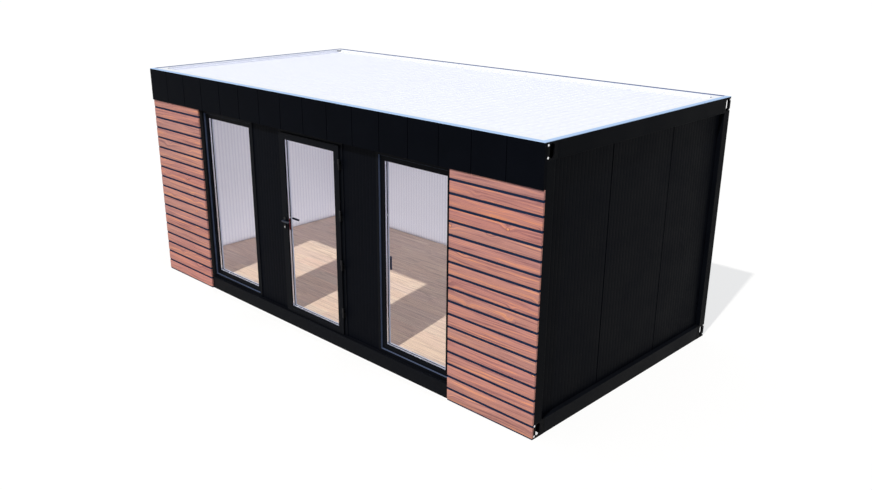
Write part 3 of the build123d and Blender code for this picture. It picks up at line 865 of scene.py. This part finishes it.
# %% Floor boards
board_length = 1.38
board_width = 0.193
laminate = 0.008
seam = 0.0006
shortest_cut = 0.02
row_shift = 0.43
board_bevel = 0.0008
floor_seed, floor_seed_step = 200, 1.7
deck_low, deck_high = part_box("floor_deck")
rows = math.ceil((room_high.y - room_low.y) / board_width)
boards = []
for row in range(rows):
    y0 = room_low.y + row * board_width
    y1 = min(y0 + board_width, room_high.y)
    x0 = room_low.x - (row * row_shift % 1) * board_length
    while x0 < room_high.x:
        a, b = max(x0, room_low.x), min(x0 + board_length, room_high.x)
        if b - a > shortest_cut and y1 - y0 > shortest_cut:
            board = block("floor_board", (a + seam / 2, y0 + seam / 2, deck_high.z - laminate),
                          (b - seam / 2, y1 - seam / 2, deck_high.z))
            bevel(board, board_bevel, 1, lambda centre, along: centre.z > deck_high.z - hair)
            number(board, len(boards) * floor_seed_step + floor_seed)
            boards.append(board)
        x0 += board_length
floor_boards = joined(boards, "floor_boards")
finish(floor_boards, floor_wood, "building", "laminate_board")
print("boards laid:", len(boards))

# %% Deck under the boards
deck_seed = 400
deck_edge = 0.001
deck = block("deck_boards", (room_low.x, room_low.y, deck_low.z),
             (room_high.x, room_high.y, deck_high.z - laminate))
rounded_edges(deck, deck_edge)
number(deck, deck_seed)
finish(deck, batten_wood, "building", "laminate_board", "floor_deck")

# %% [markdown]
# ## Rings
# Seals, linings and flashings are all thin frames round an opening. One function makes them:
# a flat rectangle is inset, its middle is deleted, and the frame that is left is extruded to
# its depth. Its edges are then rounded a little.


# %% Ring helper
def ring(name, low, high, width, depth, facing):
    """A frame round the rectangle from low to high, width wide inwards, that starts at low
    along the facing axis and is depth thick."""
    bpy.ops.object.select_all(action="DESELECT")
    bpy.ops.mesh.primitive_plane_add(size=1)
    frame_ring = bpy.context.object
    frame_ring.name = name
    bpy.ops.object.mode_set(mode="EDIT")
    if facing == "Y":
        bpy.ops.transform.rotate(value=math.radians(-90), orient_axis="X",
                                 center_override=(0, 0, 0))
        bpy.ops.transform.resize(value=(high.x - low.x, 1, high.z - low.z))
        bpy.ops.transform.translate(value=((low.x + high.x) / 2, low.y, (low.z + high.z) / 2))
        step = (0, depth, 0)
    else:
        bpy.ops.transform.resize(value=(high.x - low.x, high.y - low.y, 1))
        bpy.ops.transform.translate(value=((low.x + high.x) / 2, (low.y + high.y) / 2, low.z))
        step = (0, 0, depth)
    bpy.ops.mesh.inset(thickness=width)
    bpy.ops.mesh.delete(type="FACE")
    bpy.ops.mesh.select_all(action="SELECT")
    bpy.ops.mesh.extrude_region_move(TRANSFORM_OT_translate={"value": step})
    bpy.ops.mesh.select_all(action="SELECT")
    bpy.ops.mesh.normals_make_consistent(inside=False)
    done()
    return frame_ring


# %% [markdown]
# ## Seals and linings of the glass
# Every sheet of glass is held by a rubber seal on both faces, which shows as the black line
# next to it. The inner half of each profile is paler than the outer one, so a thin pale ring
# lines it behind the glass. In the return of each window frame, where the sash closes, lies a
# thin lining coloured grey-blue as a painted sky reflection on the black frame.

# %% Seals round the glass
glass_cover = 0.014
seal_width = 0.003
seal_thickness = 0.003
seal_round = 0.0008
for glass, body in (("window_glass_left", "building"), ("window_glass_right", "building"),
                    ("door_glass", "door")):
    low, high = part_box(glass)
    inset = Vector((glass_cover, 0, glass_cover))
    for side, start in (("outer", low.y - seal_thickness), ("inner", high.y)):
        corner = Vector((low.x, start, low.z))
        seal = ring(glass + "_seal_" + side, corner + inset, high - inset, seal_width,
                    seal_thickness, "Y")
        rounded_edges(seal, seal_round)
        finish(seal, seal_rubber, body, "window_profile")

# %% Pale inner halves of the profiles
inner_share = 0.017
pale_lining = 0.0010
lining_back = 0.0005
pale_edge = 0.0002
for profile, glass, body in (("window_sash_left", "window_glass_left", "building"),
                             ("window_sash_right", "window_glass_right", "building"),
                             ("door_leaf", "door_glass", "door")):
    low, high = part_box(profile)
    glass_low, glass_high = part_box(glass)
    inset = Vector((glass_cover, 0, glass_cover))
    start = Vector((glass_low.x, high.y - inner_share, glass_low.z)) + inset
    end = glass_high - inset
    piece = ring(profile + "_lining", start, end, pale_lining, inner_share - lining_back, "Y")
    rounded_edges(piece, pale_edge)
    finish(piece, sash_lining, body, "window_profile")

# %% Linings in the returns of the window frames, coloured as painted reflection
frame_face = 0.038
return_depth = 0.020
return_start = 0.001
lining = 0.0012
sheet_edge = 0.0003
for side in ("left", "right"):
    low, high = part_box("window_frame_" + side)
    inset = Vector((frame_face, 0, frame_face))
    piece = ring("window_return_reflection_" + side, Vector((low.x, low.y + return_start, low.z)) + inset,
                 high - inset, lining, return_depth - return_start, "Y")
    rounded_edges(piece, sheet_edge)
    finish(piece, return_painted_reflection, "building", "window_profile")

# %% [markdown]
# ## Plate at the door's lock
# A dark red plate sits on the bright bar at the glass's edge, level with the handle. It is a
# small pressed part with rounded corners.

# %% Plate at the door's lock
plate_length = 0.130
plate_centre = 1.176
plate_corner = 0.004
plate_front, plate_back = 0.0014, 0.0002
plate_side = 0.001
bar_width = 0.016
bar_low, bar_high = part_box("door_spacer")
bar_face = bar_low.x + bar_width
plate = block("lock_plate", (bar_face + plate_back, bar_low.y + plate_side,
                             plate_centre - plate_length / 2),
              (bar_face + plate_front, bar_high.y - plate_side,
               plate_centre + plate_length / 2))
bevel(plate, plate_corner, 4, lambda centre, along: abs(along.x) > 0.9)
rounded_edges(plate, sheet_edge)
finish(plate, lock_plastic, "door", "spacer_bar")

# %% [markdown]
# ## Window handle
# The handle on the right-hand sash has an upright rose, a round neck and a flat lever that
# hangs down, with rounded ends and soft edges. The fixed model's plain handle is replaced by
# it, in the same place.

# %% Window handle
low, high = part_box("window_handle")
middle_x = (low.x + high.x) / 2
rose_side = 0.001
rose_height = 0.066
rose_depth = 0.008
rose_corner = 0.006
rose_edge = 0.002
neck_radius = 0.010
neck_sunk = 0.001
neck_inset, neck_flare = 0.0005, 1.2
lever_depth = 0.012
lever_length = 0.142
lever_rise = 0.004
lever_corner = 0.008
lever_edge = 0.0025
neck_z = high.z - rose_height / 2
rose = block("rose", (low.x + rose_side, low.y, high.z - rose_height),
             (high.x - rose_side, low.y + rose_depth, high.z))
bevel(rose, rose_corner, 5, lambda centre, along: abs(along.y) > 0.9)
bevel(rose, rose_edge, 3, lambda centre, along: centre.y > low.y + rose_depth - hair)
neck = cylinder(28, neck_radius, high.y - low.y - rose_depth,
                (middle_x, (low.y + rose_depth + high.y) / 2 - neck_sunk, neck_z),
                (math.pi / 2, 0, 0))
apply_place(neck)
pick(neck, "FACE", lambda centre, normal: normal.y < -0.9)
bpy.ops.mesh.inset(thickness=neck_inset)
bpy.ops.transform.resize(value=(neck_flare, 1, neck_flare))
done()
lever_top = neck_z + neck_radius + lever_rise
lever = block("lever", (middle_x - neck_radius, high.y - lever_depth, lever_top - lever_length),
              (middle_x + neck_radius, high.y, lever_top))
bevel(lever, lever_corner, 6, lambda centre, along: abs(along.y) > 0.9)
rounded_edges(lever, lever_edge, 3)
handle = joined([lever, neck, rose], "window_lever")
smooth(handle, 40)
# the lever's blue-grey coat holds a painted sky reflection
finish(handle, lever_painted_reflection, "building", "handle_black", "window_handle")

# %% [markdown]
# ## Flashings on the roof
# The ribbed sheet stops at the inner faces of the rim. A flat flashing covers the ends of its
# ribs, and a thin lip closes them below it. A white lining stands on the flashing, against the
# rim. Where a casting's inner corner shows in the trim's opening, a small plate covers it.

# %% Flashings on the roof
sheet_low, sheet_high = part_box("roof_sheet")
trim_low, trim_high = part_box("roof_trim")
flashing_width = 0.040
flashing_thickness = 0.0014
flashing_edge = 0.0004
sheet_metal = 0.0012
gap = 0.0002
lip_rise = 0.0016
lip_overlap = 0.0004
flashing = ring("roof_flashing", Vector((sheet_low.x, sheet_low.y, sheet_high.z + gap)),
                sheet_high, flashing_width, flashing_thickness, "Z")
rounded_edges(flashing, flashing_edge)
finish(flashing, roof_coat, "building", "roof_sheet")
inset = Vector((flashing_width, flashing_width, 0))
lip = ring("roof_closure", sheet_low + inset + Vector((0, 0, lip_rise)), sheet_high - inset,
           sheet_metal, sheet_high.z - sheet_low.z - lip_rise + lip_overlap, "Z")
rounded_edges(lip, sheet_edge)
finish(lip, roof_coat, "building", "roof_sheet")

# %% Linings of the rim
rim_edge = 0.0006
near, far = gap, gap + sheet_metal
lining_base = sheet_high.z + gap + flashing_thickness + gap
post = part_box("roof_casting_front_left")[1]
for side, a, b in (
        ("back", (post.x, sheet_high.y - far), (-post.x, sheet_high.y - near)),
        ("front", (post.x, sheet_low.y + near), (-post.x, sheet_low.y + far)),
        ("left", (sheet_low.x + near, post.y), (sheet_low.x + far, sheet_high.y - flashing_width)),
        ("right", (sheet_high.x - far, post.y),
         (sheet_high.x - near, sheet_high.y - flashing_width))):
    piece = block("rim_lining_" + side, (*a, lining_base), (*b, trim_high.z - rim_edge))
    rounded_edges(piece, sheet_edge)
    finish(piece, roof_coat, "building", "roof_trim")

# %% Small plates on the castings' inner corners
for name in ("front_left", "front_right", "back_left", "back_right"):
    low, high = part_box("roof_casting_" + name)
    x0, x1 = max(low.x, sheet_low.x), min(high.x, sheet_high.x)
    y0, y1 = max(low.y, sheet_low.y), min(high.y, sheet_high.y)
    plate = block("trim_corner_" + name, (x0, y0, trim_low.z + gap),
                  (x1, y1, trim_high.z - hair))
    rounded_edges(plate, flashing_edge)
    finish(plate, trim_painted_shade_coat, "building", "roof_trim")

# %% [markdown]
# ## Plugs in the castings
# Two round pale plugs sit beside each casting's outer upright edge, one near its top and one
# near its bottom. The casting is copied from the fixed model, its loose triangles are merged,
# and a cylinder is cut out for each socket. The cap that fills it has a rounded rim and a
# faint painted glow that keeps it white in shade.

# %% Castings with plugged sockets
plug_radius = 0.0106
plug_inset = 0.0135
plug_spread = 0.050
plug_depth = 0.006
plug_edge = 0.0012
socket_play = 0.0006
level = (0, math.pi / 2, 0)
for name in [name for name in nodes if "casting" in name]:
    low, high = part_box(name)
    middle = (low + high) / 2
    side = 1 if middle.x > 0 else -1
    x_face = high.x if side > 0 else low.x
    y_plug = low.y + plug_inset if middle.y < 0 else high.y - plug_inset
    only(nodes[name])
    bpy.ops.object.duplicate(linked=False)
    casting = bpy.context.object
    casting.name = name.replace("casting", "corner")
    for key in list(casting.keys()):
        if key.startswith("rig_"):
            del casting[key]
    bpy.ops.object.parent_clear(type="CLEAR")
    bpy.ops.object.mode_set(mode="EDIT")
    bpy.ops.mesh.select_all(action="SELECT")
    bpy.ops.mesh.remove_doubles(threshold=1e-5)
    bpy.ops.mesh.dissolve_limited(angle_limit=math.radians(0.5))
    done()
    for z_plug in (middle.z - plug_spread, middle.z + plug_spread):
        cutter = cylinder(32, plug_radius + socket_play, 2 * plug_depth,
                          (x_face, y_plug, z_plug), level)
        cut = casting.modifiers.new("socket", "BOOLEAN")
        cut.object = cutter
        cut.operation = "DIFFERENCE"
        cut.solver = "EXACT"
        only(casting)
        bpy.ops.object.modifier_apply(modifier="socket")
        bpy.data.objects.remove(cutter)
    smooth(casting, 30)
    finish(casting, casting_paint, "building", "casting_paint", name)

    caps = []
    for z_plug in (middle.z - plug_spread, middle.z + plug_spread):
        cap = cylinder(28, plug_radius, plug_depth,
                       (x_face - side * (plug_depth / 2 + gap), y_plug, z_plug), level)
        apply_place(cap)
        rounded_edges(cap, plug_edge, 2)
        caps.append(cap)
    caps = joined(caps, name.replace("casting", "plugs"))
    finish(caps, plug_painted_glow_plastic, "building", "casting_paint")

# %% [markdown]
# ## Stage
# The object stands on a plain pale floor under a white sky. Both are part of the picture, not
# of the object. The floor shows a little of its own white to the camera, so that it stays
# pale and still carries the shadow.

# %% Floor and sky
bpy.ops.object.select_all(action="DESELECT")
bpy.ops.mesh.primitive_plane_add(size=600)
ground = bpy.context.object
ground.name = "studio_floor"
ground_material, tree, shader = new_material("studio floor")
feed(tree, shader, {"Base Color": (0.55, 0.55, 0.55, 1), "Roughness": 1.0,
                    "Specular IOR Level": 0.0})
glow_share = 0.5
glow = add_node(tree, "Emission", {"Color": (1, 1, 1, 1), "Strength": 1.46})
seen = any_ray(tree, "Is Camera Ray", "Is Transmission Ray")
mixed = add_node(tree, "MixShader", {0: calculate(tree, "MULTIPLY", seen, glow_share),
                                     1: shader.outputs[0], 2: glow.outputs[0]})
tree.links.new(mixed.outputs[0], tree.nodes["Material Output"].inputs["Surface"])
ground.data.materials.append(ground_material)
ground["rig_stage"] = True

world = bpy.data.worlds.new("studio sky")
bpy.context.scene.world = world
world.use_nodes = True
tree = world.node_tree
fill = tree.nodes["Background"]
feed(tree, fill, {"Color": (0.86, 0.92, 1.0, 1), "Strength": 0.38})
white = add_node(tree, "Background", {"Color": (1, 1, 1, 1), "Strength": 1.0})
seen = any_ray(tree, "Is Camera Ray", "Is Transmission Ray")
mixed = add_node(tree, "MixShader", {0: seen, 1: fill.outputs[0], 2: white.outputs[0]})
tree.links.new(mixed.outputs[0], tree.nodes["World Output"].inputs["Surface"])
print("stage ready")

# %% Size of the finished model
import json
low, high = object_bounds()
print("visual size:", [round(h - l, 4) for l, h in zip(low, high)])
